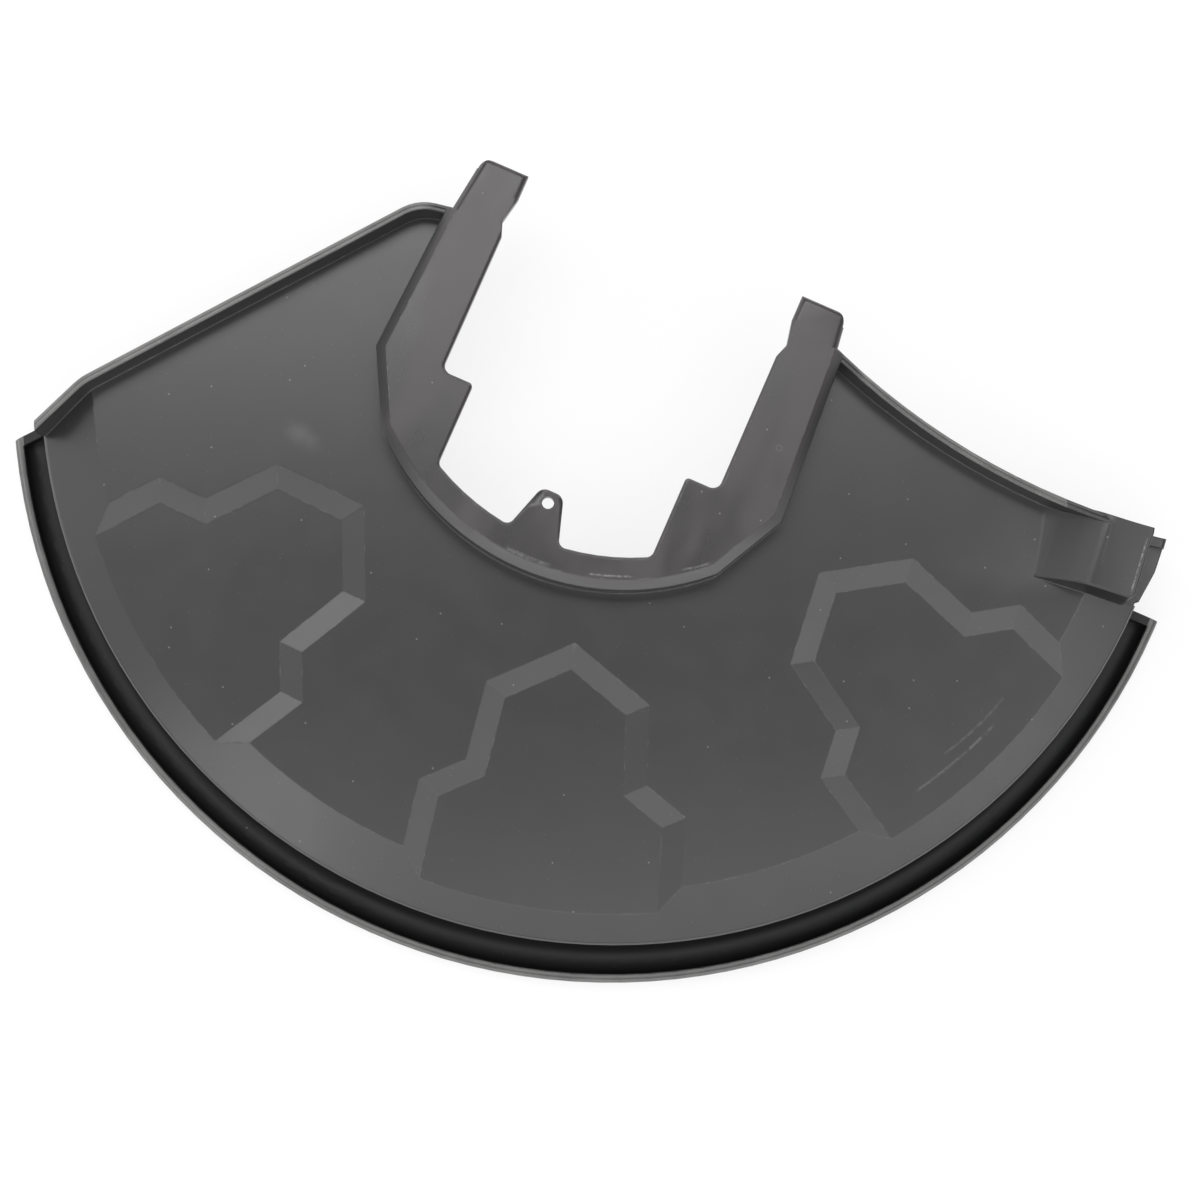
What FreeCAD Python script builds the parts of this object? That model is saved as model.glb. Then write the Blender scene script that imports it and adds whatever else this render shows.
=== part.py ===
"""Blade guard of a grass trimmer, one moulding: fan, skirt with a troughed brim, edge rims, pad and collar.

Millimetres. The blade axis is Z, the guard rests on the underside of its brim at z = 0,
and its outer face looks up.
"""
import FreeCAD, Part
import math
import os

V = FreeCAD.Vector
Z = V(0, 0, 1)

# Heights above the resting plane, and rises from one level to the next
floor_height = 26.8
edge_drop = 2.8
rim_rise = 8.2
collar_rise = 2.7
lip_height = 6.0
ledge_height = 21.0
rib_height = 23.0

# Wall thicknesses
plate_thickness = 2.6
collar_plate = 3.0
collar_wall = 2.6
skirt_thickness = 2.5
brim_thickness = 2.2
lip_thickness = 2.3
rim_thickness = 2.2
rib_thickness = 2.6

# Share of the lip's and the rims' thickness that their outer top edge is rounded over
wall_round = 0.75

# Radii about the blade axis
edge_radius = 144.4
chamfer_width = 13.5
edge_flat = 0.5
skirt_draft = 0.9
brim_width = 10.8
trough_rounding = 3.9
lip_foot_rounding = 3.2
lip_inner_rounding = 0.25
ledge_step = 2.1
ledge_rounding = 0.4
rib_end_rounding = 1.2
ledge_run_out = 9.0

# Ends of the brim: the right one is radial, the left one lies along a slanted line
brim_right_angle = -23.7
brim_left_angle = -174.0
brim_left_slant = 27.5

# Left edge of the fan, outer face of its rim, from beyond the skirt to inside the arm
left_corner = (-154.3, -25.5)
left_bend = (-132.8, -4.4)
left_shoulder = (-49.6, 41.1)
left_end = (-38.0, 38.3)
left_bend_radius = 15.0
left_shoulder_radius = 12.0

# Right edge of the fan, a hollow arc through two points, run on past both
right_inner = (55.0, 4.1)
right_outer = (134.0, -41.0)
right_radius = 178.0
right_run_on = 8.0

# Rim section
rim_inner_rounding = 0.25
rim_draft = 0.15

# Pad at the right end, in a frame turned to its own direction
pad_turn = -17.5
pad_setback = 4.3
pad_side = -17.4
pad_draft = 1.0
pad_length = 24.4
pad_ramp = 10.5
pad_foot_radius = 8.0
pad_crest_radius = 12.0
pad_corner = 1.5
pad_softening = 0.6

# Collar in its own frame: the arms point along +Y, everything mirrored about X = 0
collar_turn = -23.5
collar_shift = -1.5
arm_tip = 33.6
arm_half = 51.9
hip_half = 54.7
hip_place = -20.4
heel_half = 45.2
heel_place = -38.5
heel_centre = 8.0
collar_chamfer = 2.5
free_half = 49.4
free_lean = 0.13
free_start = {-1: 18.4, 1: 24.4}
free_rounding = 2.2
tip_rounding = 3.2
tip_softening = 1.4

# Opening between the arms
gap_half = 37.2
gap_end = -19.8
gap_rounding = 2.4
slot_half = 28.7
slot_rounding = 2.2
slot_shoulder = 1.0
slot_centre = 11.9
slot_radius = 60.5
opening_bevel = 0.6
notch_depth = 1.3
notch_start = 17.0
notch_deepest = 20.5
notch_end = 27.0

# Ear with its screw hole
hole_place = -39.4
hole_radius = 1.5
ear_top = -36.4
ear_half = 2.9
ear_rounding = 2.6
ear_flare = 0.32
ear_foot = 2.0

# Recessed hexagon groups: half outline from its tip outwards along X, then each tip and direction
group_half = ((0.0, 0.0), (12.6, 20.5), (32.5, 22.7), (39.0, 33.4), (90.0, 37.7))
group_places = ((-62.9, -35.1, -147.3), (-10.2, -69.4, -98.2), (51.0, -51.7, -49.4))
group_depth = 1.2
group_bevel = 5.6

edge_height = floor_height - edge_drop
rim_height = floor_height + rim_rise
collar_height = rim_height + collar_rise
plate_under = floor_height - plate_thickness
crease_radius = edge_radius - chamfer_width
lip_radius = edge_radius + brim_width
ledge_radius = edge_radius + ledge_step
pad_end = edge_radius - pad_setback
pad_foot = pad_end - pad_length
pad_crest = pad_foot + pad_ramp
pad_slope = math.atan2(rim_rise, pad_ramp)
lip_rounding = wall_round * lip_thickness
rim_rounding = wall_round * rim_thickness

# Reach of construction shapes: well past the part, and a little into a neighbour
far = 2 * lip_radius
overlap = 1.0

# Lengths below this count as nothing
tiny = 1e-6


def flat(x, y):
    return V(x, y, 0)


def upright(x, y):
    return V(x, 0, y)


def around_axis(radius, degrees):
    angle = math.radians(degrees)
    return V(radius * math.cos(angle), radius * math.sin(angle), 0)


def corner_arc(before, point, after, radius):
    """Start, middle and end of the arc that rounds one corner, and its centre."""
    to_before = (before - point).normalize()
    to_after = (after - point).normalize()
    half = to_before.getAngle(to_after) / 2
    reach = radius / math.tan(half)
    inwards = (to_before + to_after).normalize()
    centre = point + inwards * (radius / math.sin(half))
    return point + to_before * reach, centre - inwards * radius, point + to_after * reach, centre


def outline_face(corners, place):
    """Face inside a closed outline of (x, y, rounding) corners."""
    points = [V(c[0], c[1], 0) for c in corners]
    edges = []
    ends = []
    for i, (x, y, radius) in enumerate(corners):
        if radius == 0:
            ends.append((points[i], points[i]))
            continue
        after = points[(i + 1) % len(points)]
        start, middle, end, centre = corner_arc(points[i - 1], points[i], after, radius)
        ends.append((start, end))
        through = [place(p.x, p.y) for p in (start, middle, end)]
        edges.append(Part.Arc(*through).toShape())
    for i in range(len(ends)):
        start = ends[i - 1][1]
        end = ends[i][0]
        if start.distanceToPoint(end) > tiny:
            edges.append(Part.LineSegment(place(start.x, start.y), place(end.x, end.y)).toShape())
    return Part.Face(Part.Wire(Part.__sortEdges__(edges)))


def prism(corners, low, high):
    """Upright prism over a closed outline of (x, y, rounding) corners."""
    face = outline_face(corners, flat)
    face.translate(V(0, 0, low))
    return face.extrude(V(0, 0, high - low))


def spun(corners, start, sweep):
    """Solid turned about the blade axis from a section of (radius, height, rounding) corners."""
    face = outline_face(corners, upright)
    face.rotate(V(0, 0, 0), Z, start)
    return face.revolve(V(0, 0, 0), Z, sweep)


def near(edge, x, y):
    middle = edge.CenterOfMass
    return math.hypot(middle.x - x, middle.y - y) < overlap


def upright_edges(shape):
    found = []
    for edge in shape.Edges:
        a = edge.Vertexes[0].Point
        b = edge.Vertexes[-1].Point
        if math.hypot(a.x - b.x, a.y - b.y) < tiny and abs(a.z - b.z) > tiny:
            found.append(edge)
    return found


def left_path():
    """Runs and bends of the left edge as (start, end, bend centre or None)."""
    points = [flat(*p) for p in (left_corner, left_bend, left_shoulder, left_end)]
    radii = (left_bend_radius, left_shoulder_radius)
    pieces = []
    start = points[0]
    for i, radius in enumerate(radii):
        bend_start, middle, bend_end, centre = corner_arc(points[i], points[i + 1], points[i + 2], radius)
        pieces.append((start, bend_start, None))
        pieces.append((bend_start, bend_end, centre))
        start = bend_end
    pieces.append((start, points[-1], None))
    return pieces


def right_centre():
    """Centre of the right edge's arc, on the side away from the fan."""
    a = flat(*right_inner)
    b = flat(*right_outer)
    chord = b - a
    outwards = V(-chord.y, chord.x, 0).normalize()
    return (a + b) * 0.5 + outwards * math.sqrt(right_radius ** 2 - (chord.Length / 2) ** 2)


def turned(point, centre, degrees):
    return centre + FreeCAD.Rotation(Z, degrees).multVec(point - centre)


def right_path():
    """The right edge's one bend, run on at both ends."""
    centre = right_centre()
    start = turned(flat(*right_inner), centre, -math.degrees(right_run_on / right_radius))
    end = turned(flat(*right_outer), centre, math.degrees(3 * right_run_on / right_radius))
    return [(start, end, centre)]


def bend_angle(start, end, centre):
    a = start - centre
    b = end - centre
    return math.degrees(math.atan2(a.cross(b).z, a.dot(b)))


def path_edges(pieces):
    edges = []
    for start, end, centre in pieces:
        if centre is None:
            edges.append(Part.LineSegment(start, end).toShape())
            continue
        middle = turned(start, centre, bend_angle(start, end, centre) / 2)
        edges.append(Part.Arc(start, middle, end).toShape())
    return edges


def along(pieces, corners):
    """Solid with a section of (inwards, height, rounding) corners along an edge of the fan."""
    solids = []
    for start, end, centre in pieces:
        if centre is None:
            run = (end - start).normalize()
            inwards = V(run.y, -run.x, 0)
        else:
            radial = (start - centre).normalize()
            inwards = radial * (1 if bend_angle(start, end, centre) > 0 else -1)
        face = outline_face(corners, lambda n, z: start + inwards * n + Z * z)
        if centre is None:
            solids.append(face.extrude(end - start))
        else:
            solids.append(face.revolve(centre, Z, bend_angle(start, end, centre)))
    return solids[0].multiFuse(solids[1:]) if len(solids) > 1 else solids[0]


def fan_outline():
    """Tall prism over the fan's plan, open beyond the skirt."""
    left = path_edges(left_path())
    right = path_edges(right_path())
    right_out = right_path()[0][1]
    around = [right_out, flat(far, right_out.y), flat(far, -far)]
    around += [flat(-far, -far), flat(-far, left_corner[1]), flat(*left_corner)]
    closing = [Part.LineSegment(a, b).toShape() for a, b in zip(around, around[1:])]
    across = Part.LineSegment(flat(*left_end), right_path()[0][0]).toShape()
    wire = Part.Wire(Part.__sortEdges__(left + [across] + right + closing))
    return Part.Face(wire).extrude(V(0, 0, 2 * collar_height))


def fan_shell():
    """Flat floor, falling chamfer and skirt, one section about the blade axis."""
    inner = edge_radius - skirt_thickness
    section = [
        (overlap, floor_height, 0),
        (crease_radius, floor_height, 0),
        (edge_radius - edge_flat, edge_height + edge_flat * edge_drop / chamfer_width, 0),
        (edge_radius, edge_height - edge_flat, 0),
        (edge_radius + skirt_draft, 0, 0),
        (inner + skirt_draft, 0, 0),
        (inner, edge_height - plate_thickness, 0),
        (crease_radius, plate_under, 0),
        (overlap, plate_under, 0),
    ]
    return spun(section, 0, 360)


def brim_section(filled):
    """Channel of the brim with its lip, or the same outline with the channel filled."""
    foot = edge_radius + skirt_draft
    lip_inner = lip_radius - lip_thickness
    outer = [
        (foot - skirt_thickness, 0, 0),
        (lip_radius, 0, brim_thickness),
        (lip_radius, lip_height, lip_rounding),
    ]
    if filled:
        return outer + [(foot - skirt_thickness, lip_height, 0)]
    channel = [
        (lip_inner, lip_height, lip_inner_rounding),
        (lip_inner, brim_thickness, lip_foot_rounding),
        (foot, brim_thickness, trough_rounding),
        (foot - skirt_draft * lip_height / edge_height, lip_height + brim_thickness, 0),
        (foot - skirt_thickness, lip_height + brim_thickness, 0),
    ]
    return outer + channel


def slanted_slab(offset, thickness):
    """Slab along the brim's slanted left end, from an offset inwards by a thickness."""
    slab = Part.makeBox(4 * far, thickness, 2 * collar_height, V(-2 * far, -offset - thickness, -overlap))
    slab.rotate(V(0, 0, 0), Z, brim_left_slant)
    slab.translate(around_axis(lip_radius, brim_left_angle))
    return slab


def brim():
    """Channel round the foot of the skirt, closed by a wall at each end."""
    past_left = 180 + brim_right_angle
    channel = spun(brim_section(False), brim_right_angle, -past_left)
    channel = channel.common(slanted_slab(0, 2 * far))
    filled = spun(brim_section(True), brim_right_angle, -past_left)
    left_wall = filled.common(slanted_slab(0, lip_thickness))
    end_sweep = math.degrees(lip_thickness / lip_radius)
    right_wall = spun(brim_section(True), brim_right_angle, -end_sweep)
    return channel.multiFuse([left_wall, right_wall])


def rim(pieces):
    """Raised wall along an edge of the fan, rounded on top."""
    wall = [
        (0, plate_under, 0),
        (0, rim_height, rim_rounding),
        (rim_thickness, rim_height, rim_inner_rounding),
        (rim_thickness + rim_draft, floor_height, 0),
        (rim_thickness + rim_draft, plate_under, 0),
    ]
    return along(pieces, wall)


def in_pad_frame(shape):
    shape.rotate(V(0, 0, 0), Z, pad_turn)
    return shape


def pad_block():
    """Pad as a full block: a ramp that leaves the floor and reaches the level top in soft bends."""
    start = pad_foot - pad_foot_radius * math.tan(pad_slope / 2) - overlap
    section = [
        (start, plate_under, 0),
        (start, floor_height, 0),
        (pad_foot, floor_height, pad_foot_radius),
        (pad_crest, rim_height, pad_crest_radius),
        (pad_end, rim_height, 0),
        (pad_end, plate_under, 0),
    ]
    face = outline_face(section, upright)
    face.translate(V(0, pad_side - pad_draft, 0))
    return face.extrude(V(0, edge_radius, 0))


def beside_pad():
    """Space beside the pad's sloping side, above the floor."""
    lean = pad_draft / rim_rise
    outside = pad_side - pad_draft - far
    above = rim_rise + overlap
    points = [
        V(0, outside, floor_height),
        V(0, pad_side - pad_draft, floor_height),
        V(0, pad_side - pad_draft + lean * above, floor_height + above),
        V(0, outside, floor_height + above),
    ]
    return Part.Face(Part.makePolygon(points + [points[0]])).extrude(V(far, 0, 0))


def pad():
    """Level pad at the right end of the fan."""
    block = pad_block().cut(beside_pad())
    at_corner = [e for e in block.Edges if near(e, pad_end, pad_side - pad_draft / 2)]
    corner = [e for e in at_corner if e.CenterOfMass.z > floor_height]
    block = block.makeFillet(pad_corner, corner)
    rounded = []
    for edge in block.Edges:
        box = edge.BoundBox
        on_top = box.ZMin > rim_height - tiny
        at_side = box.YMax < pad_side + pad_corner + overlap
        at_end = box.XMin > pad_end - pad_corner - overlap
        if on_top and (at_side or at_end):
            rounded.append(edge)
    return in_pad_frame(block.makeFillet(pad_softening, rounded))


def pad_hollow():
    """Space inside the pad, open below."""
    slope = math.tan(pad_slope)
    along_ramp = plate_thickness * math.sqrt(1 + slope ** 2) / slope
    low = plate_under - overlap
    top = rim_height - plate_thickness
    foot = pad_foot + along_ramp - (floor_height - low) / slope
    crest = pad_crest + along_ramp - plate_thickness / slope
    end = pad_end - plate_thickness
    points = [V(foot, 0, low), V(crest, 0, top), V(end, 0, top), V(end, 0, low)]
    block = Part.Face(Part.makePolygon(points + [points[0]])).extrude(V(0, edge_radius, 0))
    block.translate(V(0, pad_side + plate_thickness, 0))
    return in_pad_frame(block)


def beyond_pad():
    """Space past the pad's end face, above the ledge."""
    block = Part.makeBox(far, far, 2 * collar_height, V(pad_end, pad_side, ledge_height))
    return in_pad_frame(block)


def ledge():
    """Thick end of the skirt past the pad, with a low rib along the edge of the fan."""
    inner = edge_radius - skirt_thickness
    section = [
        (inner, 0, 0),
        (ledge_radius, 0, 0),
        (ledge_radius, ledge_height, ledge_rounding),
        (inner, ledge_height, 0),
    ]
    ring = spun(section, 0, brim_right_angle)
    rib_section = [
        (0, 0, 0),
        (0, rib_height, ledge_rounding),
        (rib_thickness, rib_height, ledge_rounding),
        (rib_thickness, 0, 0),
    ]
    rib = along(right_path(), rib_section)
    reach = Part.makeCylinder(ledge_radius, rib_height)
    top = [e for e in reach.Edges if e.BoundBox.ZMin > rib_height - tiny]
    reach = reach.makeFillet(rib_end_rounding, top)
    hollow = Part.makeCylinder(inner, rib_height)
    return ring.fuse(rib.common(reach).cut(hollow)).cut(past_run_out())


def past_run_out():
    """Space outside the stretch where the ledge narrows down to the skirt."""
    low = around_axis(edge_radius + skirt_draft, brim_right_angle)
    high = around_axis(ledge_radius, brim_right_angle + math.degrees(ledge_run_out / ledge_radius))
    run = (high - low).normalize()
    points = [low - run * overlap, high + run * overlap]
    outwards = V(run.y, -run.x, 0) * far
    points += [p + outwards for p in points[::-1]]
    return Part.Face(Part.makePolygon(points + [points[0]])).extrude(V(0, 0, 2 * collar_height))


def in_collar_frame(shape):
    shape.translate(V(collar_shift, 0, 0))
    shape.rotate(V(0, 0, 0), Z, collar_turn)
    return shape


def collar_wire():
    """Outer outline of the collar with its arms, tips joined across the opening."""
    right = [V(arm_half, arm_tip, 0), V(hip_half, hip_place, 0), V(heel_half, heel_place, 0)]
    left = [V(-p.x, p.y, 0) for p in right]
    lowest = heel_centre - math.hypot(heel_half, heel_place - heel_centre)
    edges = [Part.LineSegment(a, b).toShape() for a, b in zip(right, right[1:])]
    edges.append(Part.Arc(right[-1], V(0, lowest, 0), left[-1]).toShape())
    edges += [Part.LineSegment(a, b).toShape() for a, b in zip(left[::-1], left[-2::-1])]
    edges.append(Part.LineSegment(left[0], right[0]).toShape())
    return Part.Wire(edges)


def collar_block():
    """Collar as a full block with its top edge chamfered all round except across the tips."""
    face = Part.Face(collar_wire())
    face.translate(V(0, 0, plate_under))
    block = face.extrude(V(0, 0, collar_height - plate_under))
    top = []
    for edge in block.Edges:
        box = edge.BoundBox
        if box.ZMin > collar_height - tiny and box.YMin < arm_tip - overlap:
            top.append(edge)
    block = block.makeChamfer(collar_chamfer, top)
    for side, start in free_start.items():
        block = block.cut(beside_arm(side, start))
        block = block.cut(off_tip(side))
        block = block.cut(off_edge(V(-far / 2, arm_tip, 0), V(0, 1, 0), far))
        block = block.cut(off_edge(V(side * gap_half, notch_end, 0), V(-side, 0, 0), arm_tip))
    return in_collar_frame(block)


def off_edge(start, outwards, length):
    """Sliver outside a rounded top edge of the collar, from a start point, its side facing outwards."""
    radius = tip_softening
    low = collar_height - radius
    middle = radius * math.sqrt(0.5)

    def at(inwards, height):
        return start - outwards * inwards + Z * height

    arc = Part.Arc(at(0, low), at(radius - middle, low + middle), at(radius, collar_height)).toShape()
    above = collar_height + overlap
    beyond = [at(radius, collar_height), at(radius, above), at(-gap_half, above)]
    beyond += [at(-gap_half, low), at(0, low)]
    lines = [Part.LineSegment(a, b).toShape() for a, b in zip(beyond, beyond[1:])]
    run = V(outwards.y, abs(outwards.x), 0)
    return Part.Face(Part.Wire([arc] + lines)).extrude(run * length)


def free_at(place):
    """Half width of the collar over the free ends of its arms."""
    return free_half + free_lean * (arm_tip - place)


def beside_arm(side, start):
    """Space beside the free end of an arm, which is narrower and has a rounded shoulder."""
    half = free_at(start)
    shoulder = half - free_rounding
    middle = free_rounding * math.sqrt(0.5)
    arc = Part.Arc(
        V(side * half, start, collar_height - free_rounding),
        V(side * (shoulder + middle), start, collar_height - free_rounding + middle),
        V(side * shoulder, start, collar_height),
    ).toShape()
    around = [
        V(side * shoulder, start, collar_height),
        V(side * shoulder, start, 2 * collar_height),
        V(side * far, start, 2 * collar_height),
        V(side * far, start, 0),
        V(side * half, start, 0),
        V(side * half, start, collar_height - free_rounding),
    ]
    lines = [Part.LineSegment(a, b).toShape() for a, b in zip(around, around[1:])]
    run = 2 * (arm_tip - start)
    return Part.Face(Part.Wire([arc] + lines)).extrude(V(-side * free_lean * run, run, 0))


def off_tip(side):
    """Sliver outside the rounded outer corner of an arm's tip."""
    centre = V(side * (free_half - tip_rounding), arm_tip - tip_rounding, 0)
    square = Part.makeBox(far, far, 2 * collar_height, V(0 if side > 0 else -far, 0, 0))
    square.translate(centre)
    return square.cut(Part.makeCylinder(tip_rounding, 2 * collar_height, centre))


def collar_hollow():
    """Space under the collar's plate, open at the arms' free ends and towards the opening."""
    wire = collar_wire().makeOffset2D(-collar_wall, 2)
    roof = collar_height - collar_plate
    space = Part.Face(wire).extrude(V(0, 0, roof))
    inner = free_half - collar_wall
    for side, start in free_start.items():
        first = start - collar_wall
        keep = Part.makeBox(far, far, far, V(inner if side > 0 else -inner - far, first, 0))
        free_end = Part.makeBox(inner, arm_tip, roof, V(0 if side > 0 else -inner, first, 0))
        space = space.cut(keep).fuse(free_end)
    return in_collar_frame(space)


def ear():
    foot = -2 * slot_radius
    foot_half = ear_half + ear_flare * (ear_top - foot)
    corners = [(-foot_half, foot, 0), (-ear_half, ear_top, ear_rounding), (ear_half, ear_top, ear_rounding),
               (foot_half, foot, 0)]
    return prism(corners, 0, 2 * collar_height)


def opening():
    """Space between the arms: a wide gap, a narrower slot with a round floor, two notches, less the ear."""
    ahead = 2 * arm_tip
    behind = -2 * slot_radius
    corners = [
        (gap_half, ahead, 0), (gap_half, gap_end, gap_rounding), (slot_half, gap_end, slot_shoulder),
        (slot_half, behind, 0), (-slot_half, behind, 0), (-slot_half, gap_end, slot_shoulder),
        (-gap_half, gap_end, gap_rounding), (-gap_half, ahead, 0),
    ]
    high = 2 * collar_height
    space = prism(corners, 0, high)
    round_floor = Part.makeCylinder(slot_radius, high, V(0, slot_centre, 0))
    ahead_block = Part.makeBox(far, far, high, V(-far / 2, slot_centre, 0))
    space = space.common(round_floor.fuse(ahead_block).removeSplitter())
    below_shoulder = gap_end - 2 * slot_shoulder
    low_corners = [e for e in upright_edges(space) if e.CenterOfMass.y < below_shoulder]
    space = space.makeFillet(slot_rounding, low_corners)
    space = space.cut(ear())
    below_ear_top = ear_top - 2 * ear_rounding
    low_edges = [e for e in upright_edges(space) if e.CenterOfMass.y < below_ear_top]
    feet = [e for e in low_edges if abs(e.CenterOfMass.x) < slot_half / 2]
    space = space.makeFillet(ear_foot, feet)
    space = space.fuse(flare(space))
    for side in (1, -1):
        space = space.fuse(prism(notch(side), 0, high))
    hole = Part.makeCylinder(hole_radius, high, V(0, hole_place, 0))
    return in_collar_frame(space.fuse(hole))


def flare(space):
    """Widening of the opening at the collar's top, which bevels its edge."""
    floor = [f for f in space.Faces if f.BoundBox.ZMax < tiny][0]
    wires = []
    for wide in (0, opening_bevel + overlap):
        wire = floor.OuterWire.makeOffset2D(wide, 2) if wide else floor.OuterWire.copy()
        wire.translate(V(0, 0, collar_height - opening_bevel + wide))
        wires.append(wire)
    return Part.makeLoft(wires, True, True)


def notch(side):
    """Outline of the shallow catch in one arm's inner edge, begun a little inside the gap."""
    return [
        (side * (gap_half - overlap), notch_start - overlap, 0),
        (side * gap_half, notch_start, 0),
        (side * (gap_half + notch_depth), notch_deepest, 0),
        (side * gap_half, notch_end, 0),
        (side * (gap_half - overlap), notch_end + overlap, 0),
    ]


def group_outline(shrink):
    """Whole outline of a hexagon group, drawn in by a distance square to each side."""
    half = [V(x, y, 0) for x, y in group_half]
    points = [V(p.x, -p.y, 0) for p in half[:0:-1]] + half
    sides = []
    for a, b in zip(points, points[1:]):
        run = (b - a).normalize()
        sides.append((a + V(run.y, -run.x, 0) * shrink, run))
    moved = [sides[0][0]]
    for (p, d), (q, e) in zip(sides, sides[1:]):
        reach = (q - p).cross(e).z / d.cross(e).z
        moved.append(p + d * reach)
    last = points[-1] - points[-2]
    moved.append(sides[-1][0] + last)
    return moved


def group_recess(x, y, angle):
    """Shallow pocket with sides that slope on above the floor, open towards the skirt."""
    wires = []
    for side in (-1, 1):
        points = [p - Z * (side * group_depth) for p in group_outline(side * group_bevel)]
        wires.append(Part.makePolygon(points + [points[0]]))
    pocket = Part.makeLoft(wires, True, True)
    pocket.rotate(V(0, 0, 0), Z, angle)
    pocket.translate(V(x, y, floor_height))
    return pocket


def build():
    outline = fan_outline()
    shell = fan_shell().common(outline)
    raised = pad().common(outline)
    body = shell.fuse(raised)
    body = body.cut(pad_hollow().common(outline))
    rims = rim(left_path()).fuse(rim(right_path()))
    body = body.fuse(rims.common(Part.makeCylinder(edge_radius, 2 * collar_height)))
    body = body.cut(beyond_pad())
    body = body.multiFuse([brim(), ledge().common(outline), collar_block()])
    body = body.cut(collar_hollow())
    body = body.cut(opening())
    for place in group_places:
        body = body.cut(group_recess(*place))
    return body.removeSplitter()


guard = build()
os.makedirs("parts", exist_ok=True)
guard.exportStep("parts/blade_guard.step")
box = guard.optimalBoundingBox(False)
print("solids", len(guard.Solids), "valid", guard.isValid(), "volume cm3", round(guard.Volume / 1000, 1))
print("box", [round(v, 1) for v in (box.XMin, box.YMin, box.ZMin, box.XMax, box.YMax, box.ZMax)])
print("centre of mass", [round(v, 1) for v in guard.Solids[0].CenterOfMass])
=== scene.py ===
"""Studio picture of a trimmer blade guard: moulded plastic finish, soft light and camera."""

import math

import bmesh
import bpy
from bpy.props import FloatProperty, FloatVectorProperty, PointerProperty
from mathutils import Euler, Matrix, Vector

bl_info = {
    "name": "Blade guard studio",
    "version": (1, 0, 0),
    "blender": (4, 5, 0),
    "location": "3D View > Sidebar > Blade guard",
    "description": "Gives the blade guard its moulded finish and sets up the studio round it",
    "category": "Object",
}

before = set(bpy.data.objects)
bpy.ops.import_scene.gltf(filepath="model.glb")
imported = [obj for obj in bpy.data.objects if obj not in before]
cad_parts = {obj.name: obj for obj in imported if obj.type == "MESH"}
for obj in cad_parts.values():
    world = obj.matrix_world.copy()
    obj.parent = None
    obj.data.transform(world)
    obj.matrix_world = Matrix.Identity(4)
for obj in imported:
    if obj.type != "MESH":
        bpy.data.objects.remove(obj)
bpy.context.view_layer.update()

GUARD_NODE = "blade_guard"
MM = 0.001

# Pale lines on the guard in millimetres, two of them painted highlights: start, end, width, bow and strength
# of each line
LINE_MARKS = (
    ((74.3, -106.8), (95.3, -89.2), 1.0, -0.7, 0.24),
    ((81.6, -97.3), (97.8, -82.2), 0.9, -0.85, 0.17),
    # Painted highlight: glint on the collar's chamfer
    ((-27.6, -46.4), (-16.1, -51.2), 1.6, -0.4, 0.3),
    ((-7.5, -53.0), (4.0, -53.7), 0.7, -0.2, 0.6),
    ((15.5, -52.0), (23.0, -50.2), 0.7, -0.2, 0.5),
    # Painted highlight: glint along the pad's rounded end edge
    ((132.0, -43.2), (127.5, -57.3), 0.6, 0.0, 0.8),
)
# Centre, turn and half sizes of the painted highlight spot on the fan's floor and of the pin's ring on the
# collar
GLOSS_SPOT = ((-78.5, -17.7), math.radians(-37), 7.2, 4.0)
PIN_MARK = ((40.0, -21.7), 0.0, 0.7, 0.7)
# Height of the fan's floor
FLOOR_TOP = 26.8
# Edges with broken pale lines, painted glints on the recesses and chips on the collar: middle height, reach,
# and the cosines of a full bend and of none
RECESS_GLINT_EDGES = (26.2, 1.0, 0.9965, 0.9994)
COLLAR_EDGES = (37.6, 0.3, 0.9, 0.995)
# Height of the rims and inner radius of the lip
RIM_TOP = 35.0
CHANNEL_RADIUS = 152.8
# Dust, coarse and fine: spacing and size in millimetres, share of the cells that hold a speck, strength
DUST = ((17, 0.28, 0.5, 0.55), (6, 0.16, 0.35, 0.25))
# Strength of the painted glints on the edges of the recesses and of the chips on the collar's edges
RECESS_GLINTS = 0.22
COLLAR_CHIPS = 0.5
# Added roughness of the pad's ramp, of the channel, and of the pale marks: wear and painted glints
RAMP_DULL = 0.3
CHANNEL_DULL = 0.25
WORN_DULL = 0.3
# Specular level of the plastic and, lower as painted shade, of the channel, and the plastic's index of
# refraction
PLASTIC_SHEEN = 0.5
CHANNEL_SHEEN = 0.27
PLASTIC_IOR = 1.62
# Where the ramp begins across the fan, and where the painted highlight on the right rim's top ends, in
# metres
RAMP_START = 0.1
RIM_END = 0.112

FLOOR_RADIUS = 6.0
# Each lamp: name, place, point that it faces, width, depth and radiance
SOFTBOXES = (
    ("back_softbox", (-0.175, 0.45, 1.2), (-0.175, 0.45, 0), 1.15, 0.48, 4.2),
    ("front_softbox", (0.05, -0.505, 1.2), (0.05, -0.505, 0), 0.85, 0.71, 2.1),
    ("front_left_softbox", (-0.66, -0.62, 1.2), (-0.66, -0.62, 0), 0.42, 0.46, 4.6),
    ("centre_left_softbox", (-0.41, -0.19, 1.2), (-0.41, -0.19, 0), 0.28, 0.30, 1.1),
    ("left_softbox", (-0.88, 0.0, 1.2), (-0.88, 0.0, 0), 0.50, 0.50, 1.3),
    ("right_softbox", (0.72, -0.20, 1.2), (0.72, -0.20, 0), 0.50, 1.00, 2.6),
    ("left_wall_softbox", (-1.25, 0.08, 0.66), (0.1, -0.04, 0.03), 0.70, 0.80, 3.5),
)


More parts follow.
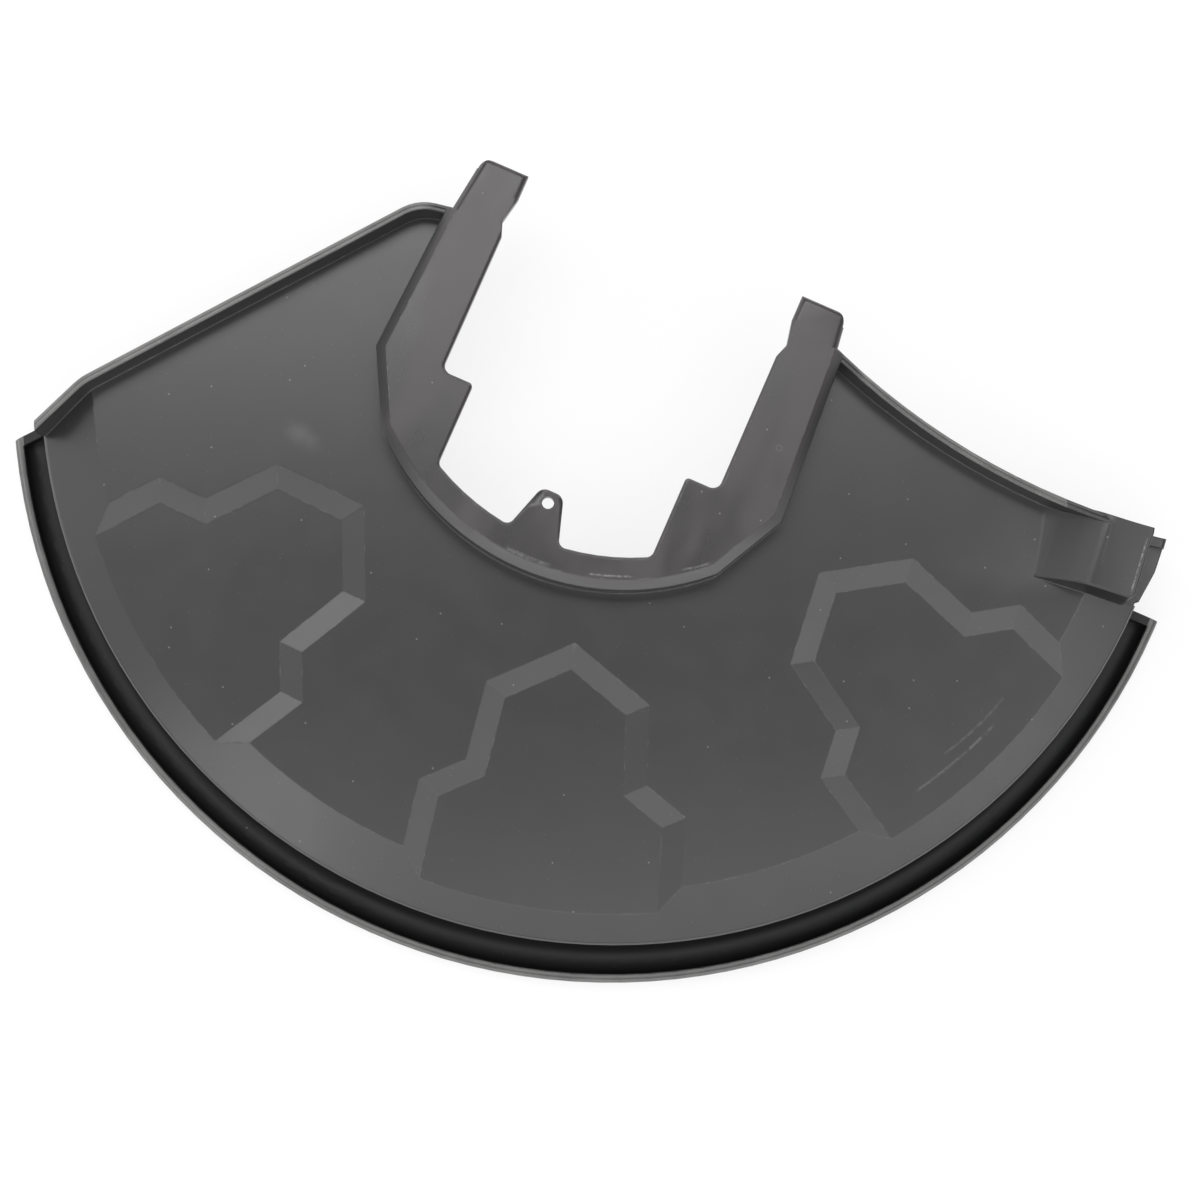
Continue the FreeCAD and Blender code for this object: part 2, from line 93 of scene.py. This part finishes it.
class GuardFinish(bpy.types.PropertyGroup):
    """Colour, surface and wear of the moulded plastic, and its painted light and shade."""

    plastic: FloatVectorProperty(
        name="Plastic", description="Colour of the moulded plastic",
        subtype="COLOR", size=4, min=0, max=1, default=(0.0115, 0.0115, 0.0118, 1.0))
    plastic_pale: FloatVectorProperty(
        name="Paler flow", description="Colour where the plastic flowed paler in the mould",
        subtype="COLOR", size=4, min=0, max=1, default=(0.015, 0.015, 0.0152, 1.0))
    collar: FloatVectorProperty(
        name="Collar", description="Warmer colour of the handled collar",
        subtype="COLOR", size=4, min=0, max=1, default=(0.027, 0.022, 0.0228, 1.0))
    # Painted shade: the channel colour darkens the plastic down in the brim's channel
    channel: FloatVectorProperty(
        name="Channel", description="Darker colour down in the brim's channel",
        subtype="COLOR", size=4, min=0, max=1, default=(0.005, 0.005, 0.0053, 1.0))
    # Painted highlight: a paler colour on the up-facing tops of the lip and rims
    painted_top_highlight: FloatVectorProperty(
        name="Scuffed", description="Paler colour of the highlit lip and rims",
        subtype="COLOR", size=4, min=0, max=1, default=(0.1, 0.098, 0.096, 1.0))
    # Colour of the pale marks: scratches, chipped edges and dust, and painted highlights on edges and the
    # fan's floor
    wear_and_glints: FloatVectorProperty(
        name="Worn", description="Colour of scratches, chipped edges and dust",
        subtype="COLOR", size=4, min=0, max=1, default=(0.22, 0.22, 0.215, 1.0))
    gloss_spread: FloatProperty(
        name="Roughness", description="How widely the satin face spreads a reflection",
        subtype="FACTOR", min=0, max=1, default=0.29)
    grain_size: FloatProperty(
        name="Grain size", description="Width of one grain of the moulded texture",
        unit="LENGTH", min=0.0001, default=0.0007)
    grain_height: FloatProperty(
        name="Grain height", description="Height of the moulded texture",
        unit="LENGTH", min=0, default=0.00001)
    edge_rounding: FloatProperty(
        name="Edge rounding", description="Softening of the sharp edges in the shading",
        unit="LENGTH", min=0, default=0.0005)
    crease: FloatProperty(
        name="Crease", description="Edges bent more than this stay sharp",
        subtype="ANGLE", min=0, default=math.radians(40))
    top_crease: FloatProperty(
        name="Crease on the fan", description="Edges of the fan's top bent more than this stay sharp",
        subtype="ANGLE", min=0, default=math.radians(9))
    top_level: FloatProperty(
        name="Fan level", description="Height of the middle of the fan's top",
        unit="LENGTH", default=0.0253)
    top_depth: FloatProperty(
        name="Fan depth", description="Reach of the fan's top above and below its middle",
        unit="LENGTH", min=0, default=0.00155)
    collar_level: FloatProperty(
        name="Collar level", description="Height above which the plastic is the collar's",
        unit="LENGTH", min=0, default=0.0361)
    collar_turn: FloatProperty(
        name="Collar turn", description="Turn of the collar's arms, which its flow marks follow",
        subtype="ANGLE", default=math.radians(-23.5))


class GuardStage(bpy.types.PropertyGroup):
    """Floor, light and camera of the studio."""

    floor_colour: FloatVectorProperty(
        name="Floor", description="Colour of the plain floor", subtype="COLOR", size=4, min=0, max=1,
        default=(0.9, 0.9, 0.9, 1.0))
    horizon: FloatProperty(
        name="Horizon", description="Brightness of the walls before and behind the object, low down",
        min=0, default=3.0)
    sides: FloatProperty(
        name="Sides", description="Brightness of the walls to its left and right, low down",
        min=0, default=0.5)
    ceiling: FloatProperty(
        name="Ceiling", description="Brightness of the room over the object", min=0, default=0.18)
    lens: FloatProperty(
        name="Lens", description="Focal length on a 36 mm wide frame, in millimetres", min=1, default=72.0)
    viewpoint: FloatVectorProperty(
        name="Viewpoint", description="Place of the camera", subtype="TRANSLATION", unit="LENGTH", size=3,
        default=(-0.02257, -0.10470, 0.624))
    tilt: FloatVectorProperty(
        name="Tilt", description="Turn of the camera from looking straight down", subtype="EULER", size=3,
        default=(math.radians(4.408), math.radians(-1.785), 0.0))


def add_node(tree, kind, **settings):
    """New shader node with its settings."""
    made = tree.nodes.new(kind)
    for name, value in settings.items():
        setattr(made, name, value)
    return made


def feed(tree, socket, source):
    """Links a socket into an input, or sets the input to a plain value."""
    if isinstance(source, bpy.types.NodeSocket):
        tree.links.new(source, socket)
    else:
        socket.default_value = source


def calc(tree, operation, *values, clamp=False):
    """Result of a Math node."""
    made = add_node(tree, "ShaderNodeMath", operation=operation, use_clamp=clamp)
    for socket, value in zip(made.inputs, values):
        feed(tree, socket, value)
    return made.outputs["Value"]


def noise(tree, place, size, detail=2.0, roughness=0.5):
    """Noise whose features are about as wide as size, from 0 to 1."""
    made = add_node(tree, "ShaderNodeTexNoise")
    feed(tree, made.inputs["Vector"], place)
    made.inputs["Scale"].default_value = 1 / size
    made.inputs["Detail"].default_value = detail
    made.inputs["Roughness"].default_value = roughness
    return made.outputs["Fac"]


def remap(tree, value, low, high, to_low, to_high, smooth=True):
    """Value carried from one range to another and held at its ends."""
    made = add_node(tree, "ShaderNodeMapRange", interpolation_type="SMOOTHSTEP" if smooth else "LINEAR")
    sources = {"Value": value, "From Min": low, "From Max": high, "To Min": to_low, "To Max": to_high}
    for name, source in sources.items():
        feed(tree, made.inputs[name], source)
    return made.outputs["Result"]


def mix_colour(tree, share, first, second):
    """Two colours mixed by a share of the second."""
    made = add_node(tree, "ShaderNodeMix", data_type="RGBA")
    feed(tree, made.inputs["Factor"], share)
    feed(tree, made.inputs[6], first)
    feed(tree, made.inputs[7], second)
    return made.outputs[2]


def new_material(name):
    """Material with an empty node tree and its output node."""
    material = bpy.data.materials.new(name)
    material.use_nodes = True
    material.node_tree.nodes.clear()
    return material, material.node_tree, add_node(material.node_tree, "ShaderNodeOutputMaterial")


def split_axes(tree, place):
    """The three coordinates of a place."""
    made = add_node(tree, "ShaderNodeSeparateXYZ")
    feed(tree, made.inputs[0], place)
    return made.outputs["X"], made.outputs["Y"], made.outputs["Z"]


def seen_from(tree, place, centre, angle, half_length, half_width):
    """Place as a mark sees it: sizes in millimetres, its length and its width each from -1 to 1."""
    made = add_node(tree, "ShaderNodeMapping", vector_type="TEXTURE")
    feed(tree, made.inputs["Vector"], place)
    made.inputs["Location"].default_value = (centre[0] * MM, centre[1] * MM, 0)
    made.inputs["Rotation"].default_value = (0, 0, angle)
    made.inputs["Scale"].default_value = (half_length * MM, half_width * MM, 1)
    along, across, _ = split_axes(tree, made.outputs["Vector"])
    return along, across


def line_mark(tree, place, start, end, width, bow=0.0):
    """Mask of a thin mark between two points, bowed sideways in its middle."""
    run = Vector(end) - Vector(start)
    middle = (Vector(start) + Vector(end)) / 2
    along, across = seen_from(tree, place, middle, math.atan2(run.y, run.x), run.length / 2, width / 2)
    bend = bow * 2 / width
    offset = calc(tree, "MULTIPLY_ADD", calc(tree, "MULTIPLY", along, along), bend, across)
    offset = calc(tree, "ABSOLUTE", calc(tree, "SUBTRACT", offset, bend))
    side = remap(tree, offset, 0.3, 1.0, 1.0, 0.0)
    ends = remap(tree, calc(tree, "ABSOLUTE", along), 0.8, 1.0, 1.0, 0.0)
    return calc(tree, "MULTIPLY", side, ends)


def spot_reach(tree, place, centre, angle, half_length, half_width):
    """Distance from a spot's middle, 1 on its outline."""
    along, across = seen_from(tree, place, centre, angle, half_length, half_width)
    squares = calc(tree, "MULTIPLY_ADD", along, along, calc(tree, "MULTIPLY", across, across))
    return calc(tree, "SQRT", squares)


def specks(tree, place, spacing, size, share):
    """Mask of dots in a share of the cells of a grid, sizes in metres."""
    cells = add_node(tree, "ShaderNodeTexVoronoi", voronoi_dimensions="2D")
    feed(tree, cells.inputs["Vector"], place)
    cells.inputs["Scale"].default_value = 1 / spacing
    dot = remap(tree, cells.outputs["Distance"], size / spacing / 2, size / spacing, 1.0, 0.0)
    pick = split_axes(tree, cells.outputs["Color"])[0]
    return calc(tree, "MULTIPLY", dot, calc(tree, "LESS_THAN", pick, share))


def strongest(tree, masks):
    """The strongest of some masks at each place."""
    result = masks[0]
    for mask in masks[1:]:
        result = calc(tree, "MAXIMUM", result, mask)
    return result


def pale_edge_line(tree, place, rounding, edges):
    """Broken pale line along some edges."""
    level, reach, full, none = edges
    shape = add_node(tree, "ShaderNodeNewGeometry")
    turn = add_node(tree, "ShaderNodeVectorMath", operation="DOT_PRODUCT")
    feed(tree, turn.inputs[0], rounding)
    feed(tree, turn.inputs[1], shape.outputs["Normal"])
    edge = remap(tree, turn.outputs["Value"], full, none, 1.0, 0.0)
    chips = remap(tree, noise(tree, place, 3 * MM, 3.0, 0.7), 0.52, 0.66, 0.0, 1.0)
    height = split_axes(tree, place)[2]
    away = calc(tree, "ABSOLUTE", calc(tree, "SUBTRACT", height, level * MM))
    near = remap(tree, away, reach * MM, (reach + 0.3) * MM, 1.0, 0.0)
    return calc(tree, "MULTIPLY", calc(tree, "MULTIPLY", edge, chips), near)


def upward(tree, low=0.75, high=0.95):
    """Mask of the faces that point up."""
    shape = add_node(tree, "ShaderNodeNewGeometry")
    return remap(tree, split_axes(tree, shape.outputs["Normal"])[2], low, high, 0.0, 1.0)


def wear_and_glint_mask(tree, place, rounding):
    """Pale marks, as strong as they show: scratches, dust, chipped collar edges and a pin ring, with painted
    highlights on edges and on the fan's floor.
    """
    broken = remap(tree, noise(tree, place, 1.1 * MM, 4.0, 0.8), 0.38, 0.62, 0.05, 1.0)
    lines = [calc(tree, "MULTIPLY", line_mark(tree, place, *mark[:-1]), mark[-1]) for mark in LINE_MARKS]
    lines = calc(tree, "MULTIPLY", strongest(tree, lines), broken)
    dust = []
    for spacing, size, share, strength in DUST:
        dots = specks(tree, place, spacing * MM, size * MM, share)
        dust.append(calc(tree, "MULTIPLY", dots, strength))
    # Painted highlight: a pale spot on the fan's floor
    gloss_spot = remap(tree, spot_reach(tree, place, *GLOSS_SPOT), 0.1, 1.0, 0.13, 0.0)
    blotchy = remap(tree, noise(tree, place, 4 * MM, 3.0), 0.35, 0.65, 0.35, 1.0)
    gloss_spot = calc(tree, "MULTIPLY", gloss_spot, blotchy)
    ring = calc(tree, "ABSOLUTE", calc(tree, "SUBTRACT", spot_reach(tree, place, *PIN_MARK), 1.0))
    ring = remap(tree, ring, 0.1, 0.5, 0.1, 0.0)
    flat = calc(tree, "MULTIPLY", strongest(tree, [lines, *dust, gloss_spot, ring]), upward(tree))
    # Painted highlight: broken glints along the edges of the recesses
    recess_glint_mask = calc(tree, "MULTIPLY", pale_edge_line(tree, place, rounding, RECESS_GLINT_EDGES), RECESS_GLINTS)
    collar_edges = calc(tree, "MULTIPLY", pale_edge_line(tree, place, rounding, COLLAR_EDGES), COLLAR_CHIPS)
    return strongest(tree, [flat, recess_glint_mask, collar_edges])


def from_axis(tree, place):
    """Distance from the blade axis."""
    across, depth, _ = split_axes(tree, place)
    squares = calc(tree, "MULTIPLY_ADD", across, across, calc(tree, "MULTIPLY", depth, depth))
    return calc(tree, "SQRT", squares)


def channel_shade_mask(tree, place):
    """Painted shade down in the brim's channel, where the plastic is darker, duller and reflects less."""
    inside = calc(tree, "LESS_THAN", from_axis(tree, place), CHANNEL_RADIUS * MM)
    height = split_axes(tree, place)[2]
    return calc(tree, "MULTIPLY", inside, remap(tree, height, 5 * MM, 12 * MM, 1.0, 0.0))


def ramp_mask(tree, place):
    """Duller plastic on the pad's ramp."""
    across, _, height = split_axes(tree, place)
    above = remap(tree, height, (FLOOR_TOP + 0.01) * MM, (FLOOR_TOP + 0.15) * MM, 0.0, 1.0)
    below = remap(tree, height, (RIM_TOP - 0.5) * MM, (RIM_TOP - 0.05) * MM, 1.0, 0.0)
    there = calc(tree, "MULTIPLY", upward(tree, 0.3, 0.6), calc(tree, "GREATER_THAN", across, RAMP_START))
    return calc(tree, "MULTIPLY", calc(tree, "MULTIPLY", above, below), there)


def top_highlight_mask(tree, place):
    """Painted highlight: paler up-facing tops of the lip and the rims."""
    across, _, height = split_axes(tree, place)
    reach = from_axis(tree, place)
    lip = calc(tree, "GREATER_THAN", reach, CHANNEL_RADIUS * MM)
    lip = calc(tree, "MULTIPLY", lip, calc(tree, "LESS_THAN", height, 10 * MM))
    from_top = calc(tree, "ABSOLUTE", calc(tree, "SUBTRACT", height, RIM_TOP * MM))
    rim = remap(tree, from_top, 1.2 * MM, 2 * MM, 1.0, 0.0)
    rim = calc(tree, "MULTIPLY", rim, calc(tree, "LESS_THAN", across, RIM_END))
    rim = calc(tree, "MULTIPLY", rim, remap(tree, reach, 59 * MM, 63 * MM, 0.0, 1.0))
    patchy = remap(tree, noise(tree, place, 14 * MM, 4.0, 0.6), 0.3, 0.7, 0.55, 1.0)
    tops = calc(tree, "MULTIPLY", calc(tree, "MAXIMUM", lip, rim), upward(tree, 0.05, 0.35))
    return calc(tree, "MULTIPLY", tops, patchy)


def plastic_material(finish):
    """Satin moulded plastic with flow shading, fine grain, scratches, dust and chipped edges, with painted
    shade in the channel and painted highlights.
    """
    material, tree, output = new_material("guard_plastic")
    place = add_node(tree, "ShaderNodeTexCoord").outputs["Object"]
    turned = add_node(tree, "ShaderNodeMapping", vector_type="TEXTURE")
    feed(tree, turned.inputs["Vector"], place)
    turned.inputs["Rotation"].default_value = (0, 0, finish.collar_turn)
    turned.inputs["Scale"].default_value = (1, 2.5, 1)
    flow = remap(tree, noise(tree, place, 60 * MM, 3.0), 0.3, 0.7, 0.0, 1.0)
    cloud = noise(tree, place, 9 * MM, 4.0)
    smear = remap(tree, noise(tree, turned.outputs["Vector"], 13 * MM, 2.0), 0.3, 0.7, 0.0, 1.0)
    grain = noise(tree, place, finish.grain_size, 2.0, 0.6)
    collar = remap(tree, split_axes(tree, place)[2], finish.collar_level, finish.collar_level + MM, 0.0, 1.0)

    rounding = add_node(tree, "ShaderNodeBevel", samples=6)
    rounding.inputs["Radius"].default_value = finish.edge_rounding
    # Scratches, dust and chips, with painted glints and a painted highlight spot
    wear_and_glints = wear_and_glint_mask(tree, place, rounding.outputs["Normal"])

    shader = add_node(tree, "ShaderNodeBsdfPrincipled")
    shader.inputs["IOR"].default_value = PLASTIC_IOR
    channel = channel_shade_mask(tree, place)
    tone = mix_colour(tree, flow, list(finish.plastic), list(finish.plastic_pale))
    # Painted shade: darker colour down in the brim's channel
    tone = mix_colour(tree, channel, tone, list(finish.channel))
    # Painted highlight: paler up-facing tops of the lip and rims
    tone = mix_colour(tree, top_highlight_mask(tree, place), tone, list(finish.painted_top_highlight))
    collar_share = calc(tree, "MULTIPLY", collar, remap(tree, smear, 0.0, 1.0, 0.4, 1.0))
    tone = mix_colour(tree, collar_share, tone, list(finish.collar))
    feed(tree, shader.inputs["Base Color"], mix_colour(tree, wear_and_glints, tone, list(finish.wear_and_glints)))
    spread = remap(tree, cloud, 0.3, 0.7, finish.gloss_spread - 0.01, finish.gloss_spread + 0.01)
    smeared = calc(tree, "MULTIPLY", collar, remap(tree, smear, 0.0, 1.0, -0.02, 0.08))
    spread = calc(tree, "ADD", spread, smeared)
    spread = calc(tree, "MULTIPLY_ADD", ramp_mask(tree, place), RAMP_DULL, spread)
    spread = calc(tree, "MULTIPLY_ADD", channel, CHANNEL_DULL, spread)
    # Painted shade: weaker reflection down in the brim's channel
    sheen = remap(tree, channel, 0.0, 1.0, PLASTIC_SHEEN, CHANNEL_SHEEN, smooth=False)
    feed(tree, shader.inputs["Specular IOR Level"], sheen)
    feed(tree, shader.inputs["Roughness"], calc(tree, "MULTIPLY_ADD", wear_and_glints, WORN_DULL, spread))

    bump = add_node(tree, "ShaderNodeBump")
    bump.inputs["Strength"].default_value = 1.0
    bump.inputs["Distance"].default_value = finish.grain_height
    feed(tree, bump.inputs["Height"], grain)
    feed(tree, bump.inputs["Normal"], rounding.outputs["Normal"])
    feed(tree, shader.inputs["Normal"], bump.outputs["Normal"])
    feed(tree, output.inputs["Surface"], shader.outputs["BSDF"])
    return material


def smoothing_nodes(finish):
    """Node group that shades the curved faces smoothly and keeps the creases crisp."""
    tree = bpy.data.node_groups.new("guard_smoothing", "GeometryNodeTree")
    tree.interface.new_socket("Geometry", in_out="INPUT", socket_type="NodeSocketGeometry")
    tree.interface.new_socket("Geometry", in_out="OUTPUT", socket_type="NodeSocketGeometry")
    joined = add_node(tree, "GeometryNodeMergeByDistance")
    feed(tree, joined.inputs["Geometry"], add_node(tree, "NodeGroupInput").outputs[0])
    joined.inputs["Distance"].default_value = 0.002 * MM
    plain = add_node(tree, "GeometryNodeRemoveAttribute")
    feed(tree, plain.inputs["Geometry"], joined.outputs["Geometry"])
    plain.inputs["Name"].default_value = "custom_normal"
    smooth = add_node(tree, "GeometryNodeSetShadeSmooth", domain="FACE")
    feed(tree, smooth.inputs[0], plain.outputs["Geometry"])
    smooth.inputs["Shade Smooth"].default_value = True

    height = split_axes(tree, add_node(tree, "GeometryNodeInputPosition").outputs["Position"])[2]
    from_top = calc(tree, "ABSOLUTE", calc(tree, "SUBTRACT", height, finish.top_level))
    on_top = calc(tree, "LESS_THAN", from_top, finish.top_depth)
    limit = calc(tree, "MULTIPLY_ADD", on_top, finish.top_crease - finish.crease, finish.crease)
    angle = add_node(tree, "GeometryNodeInputMeshEdgeAngle").outputs["Unsigned Angle"]
    creased = add_node(tree, "GeometryNodeSetShadeSmooth", domain="EDGE")
    feed(tree, creased.inputs[0], smooth.outputs[0])
    feed(tree, creased.inputs["Selection"], calc(tree, "GREATER_THAN", angle, limit))
    creased.inputs["Shade Smooth"].default_value = False
    feed(tree, add_node(tree, "NodeGroupOutput").inputs[0], creased.outputs[0])
    return tree


def floor_material(stage):
    """Pale matt floor that looks white to the camera and keeps a soft shadow."""
    material, tree, output = new_material("studio_floor")
    matt = add_node(tree, "ShaderNodeBsdfDiffuse")
    matt.inputs["Color"].default_value = stage.floor_colour
    glow = add_node(tree, "ShaderNodeEmission")
    glow.inputs["Strength"].default_value = 1.0
    rays = add_node(tree, "ShaderNodeLightPath")
    seen = calc(tree, "MAXIMUM", rays.outputs["Is Camera Ray"], rays.outputs["Is Glossy Ray"])
    seen = calc(tree, "MAXIMUM", seen, rays.outputs["Is Transmission Ray"])
    place = add_node(tree, "ShaderNodeTexCoord").outputs["Object"]
    reach = add_node(tree, "ShaderNodeVectorMath", operation="LENGTH")
    feed(tree, reach.inputs[0], place)
    fade = remap(tree, reach.outputs["Value"], 0.2, 0.6, 0.8, 1.0)
    blend = add_node(tree, "ShaderNodeMixShader")
    feed(tree, blend.inputs[0], calc(tree, "MULTIPLY", seen, fade))
    feed(tree, blend.inputs[1], matt.outputs["BSDF"])
    feed(tree, blend.inputs[2], glow.outputs["Emission"])
    feed(tree, output.inputs["Surface"], blend.outputs["Shader"])
    return material


def add_floor(stage):
    """Wide round floor under the guard."""
    mesh = bpy.data.meshes.new("studio_floor")
    shape = bmesh.new()
    bmesh.ops.create_circle(shape, cap_ends=True, radius=FLOOR_RADIUS, segments=96)
    shape.to_mesh(mesh)
    shape.free()
    floor = bpy.data.objects.new("studio_floor", mesh)
    bpy.context.scene.collection.objects.link(floor)
    mesh.materials.append(floor_material(stage))


def add_softbox(name, place, aim, width, depth, radiance):
    """Soft lamp of an even brightness that faces a point."""
    lamp = bpy.data.lights.new(name, "AREA")
    lamp.shape = "RECTANGLE"
    lamp.size = width
    lamp.size_y = depth
    lamp.energy = radiance * math.pi * width * depth
    softbox = bpy.data.objects.new(name, lamp)
    softbox.location = place
    softbox.rotation_euler = (Vector(aim) - Vector(place)).to_track_quat("-Z", "Y").to_euler()
    softbox.visible_camera = False
    bpy.context.scene.collection.objects.link(softbox)


def set_room(stage):
    """Room with pale walls and a darker ceiling, white where the camera sees it."""
    world = bpy.data.worlds.new("studio_room")
    bpy.context.scene.world = world
    world.use_nodes = True
    tree = world.node_tree
    tree.nodes.clear()
    rays = add_node(tree, "ShaderNodeLightPath")
    sky = add_node(tree, "ShaderNodeTexCoord").outputs["Generated"]
    _, depth, height = split_axes(tree, sky)
    low_walls = remap(tree, calc(tree, "ABSOLUTE", depth), 0.2, 0.75, stage.sides, stage.horizon)
    walls = remap(tree, height, 0.2, 0.5, low_walls, stage.ceiling)
    room = add_node(tree, "ShaderNodeBackground")
    feed(tree, room.inputs["Strength"], calc(tree, "MAXIMUM", rays.outputs["Is Camera Ray"], walls))
    feed(tree, add_node(tree, "ShaderNodeOutputWorld").inputs["Surface"], room.outputs["Background"])
    room.inputs["Color"].default_value = (1, 1, 1, 1)


def add_camera(stage):
    """Camera at the photograph's viewpoint."""
    lens = bpy.data.cameras.new("studio_camera")
    lens.lens = stage.lens
    lens.sensor_width = 36
    lens.sensor_fit = "HORIZONTAL"
    lens.clip_start = 0.01
    camera = bpy.data.objects.new("studio_camera", lens)
    camera.location = stage.viewpoint
    camera.rotation_euler = Euler(stage.tilt)
    bpy.context.scene.collection.objects.link(camera)
    bpy.context.scene.camera = camera


class GUARD_OT_finish(bpy.types.Operator):
    """Gives the guard its moulded plastic finish"""

    bl_idname = "guard.finish"
    bl_label = "Finish the guard"

    def execute(self, context):
        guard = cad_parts[GUARD_NODE]
        guard.data.materials.clear()
        guard.data.materials.append(plastic_material(context.scene.guard_finish))
        guard.modifiers.new("smoothing", "NODES").node_group = smoothing_nodes(context.scene.guard_finish)
        return {"FINISHED"}


class GUARD_OT_stage(bpy.types.Operator):
    """Sets up the floor, the soft light and the camera"""

    bl_idname = "guard.stage"
    bl_label = "Set the stage"

    def execute(self, context):
        stage = context.scene.guard_stage
        context.scene.view_settings.view_transform = "Standard"
        add_floor(stage)
        set_room(stage)
        for lamp in SOFTBOXES:
            add_softbox(*lamp)
        add_camera(stage)
        return {"FINISHED"}


class GUARD_PT_panel(bpy.types.Panel):
    """Lists the guard's finish and stage"""

    bl_idname = "GUARD_PT_panel"
    bl_label = "Blade guard"
    bl_space_type = "VIEW_3D"
    bl_region_type = "UI"
    bl_category = "Blade guard"

    def draw(self, context):
        for group in (context.scene.guard_finish, context.scene.guard_stage):
            for name in group.__annotations__:
                self.layout.prop(group, name)
        self.layout.operator(GUARD_OT_finish.bl_idname)
        self.layout.operator(GUARD_OT_stage.bl_idname)


CLASSES = (GuardFinish, GuardStage, GUARD_OT_finish, GUARD_OT_stage, GUARD_PT_panel)


def register():
    for kind in CLASSES:
        bpy.utils.register_class(kind)
    bpy.types.Scene.guard_finish = PointerProperty(type=GuardFinish)
    bpy.types.Scene.guard_stage = PointerProperty(type=GuardStage)


def unregister():
    del bpy.types.Scene.guard_stage
    del bpy.types.Scene.guard_finish
    for kind in reversed(CLASSES):
        bpy.utils.unregister_class(kind)


def main():
    register()
    bpy.ops.guard.finish()
    bpy.ops.guard.stage()


if __name__ == "__main__":
    main()
